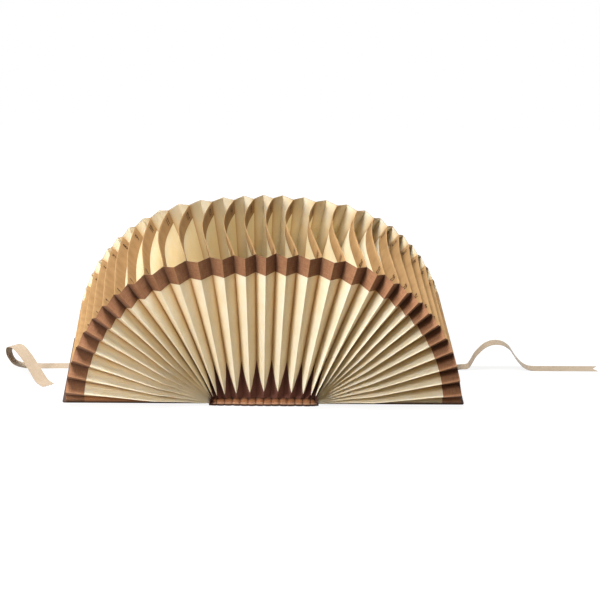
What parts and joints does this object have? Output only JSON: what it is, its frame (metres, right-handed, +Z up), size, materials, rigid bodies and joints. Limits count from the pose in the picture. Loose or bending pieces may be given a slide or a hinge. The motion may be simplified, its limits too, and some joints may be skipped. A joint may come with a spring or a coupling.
{
  "type": "expanding file",
  "caption": "Expanding file fanned open to a half circle on its two covers, with pleated gussets, numbered dividers and two ribbon ties.",
  "frame": {"origin": "on the table, under the middle of the spine cloth", "axes": "+X from the left cover to the right cover, +Y from the near gusset to the far gusset, +Z up"},
  "size_m": [1.076, 0.3686, 0.2782],
  "materials": {
    "divider_card": "uncoated manila card with a kraft strip folded over the mouth edge",
    "gusset_paper": "uncoated pale manila paper, pleated",
    "brown_cloth": "dark brown book cloth",
    "cover_board": "stiff board covered in dark brown book cloth",
    "ribbon": "flat woven cotton ribbon, light tan"
  },
  "bodies": {
    "root": {"left_cover": "cover_board", "right_cover": "cover_board", "spine_cloth": "brown_cloth", "left_tie": "ribbon", "right_tie": "ribbon", "bottom_gusset": "brown_cloth", "near_gusset": "gusset_paper", "far_gusset": "gusset_paper", "near_mouth_tape": "brown_cloth", "far_mouth_tape": "brown_cloth", "divider_01": "divider_card", "divider_02": "divider_card", "divider_03": "divider_card", "divider_04": "divider_card", "divider_05": "divider_card", "divider_06": "divider_card", "divider_07": "divider_card", "divider_08": "divider_card", "divider_09": "divider_card", "divider_10": "divider_card", "divider_11": "divider_card", "divider_12": "divider_card", "divider_13": "divider_card", "divider_14": "divider_card", "divider_15": "divider_card", "divider_16": "divider_card", "divider_17": "divider_card", "divider_18": "divider_card", "divider_19": "divider_card", "divider_20": "divider_card", "divider_21": "divider_card", "divider_22": "divider_card", "divider_23": "divider_card", "divider_24": "divider_card", "divider_25": "divider_card", "divider_26": "divider_card", "divider_27": "divider_card", "divider_28": "divider_card", "divider_29": "divider_card", "divider_30": "divider_card", "divider_31": "divider_card"}
  },
  "joints": []
}
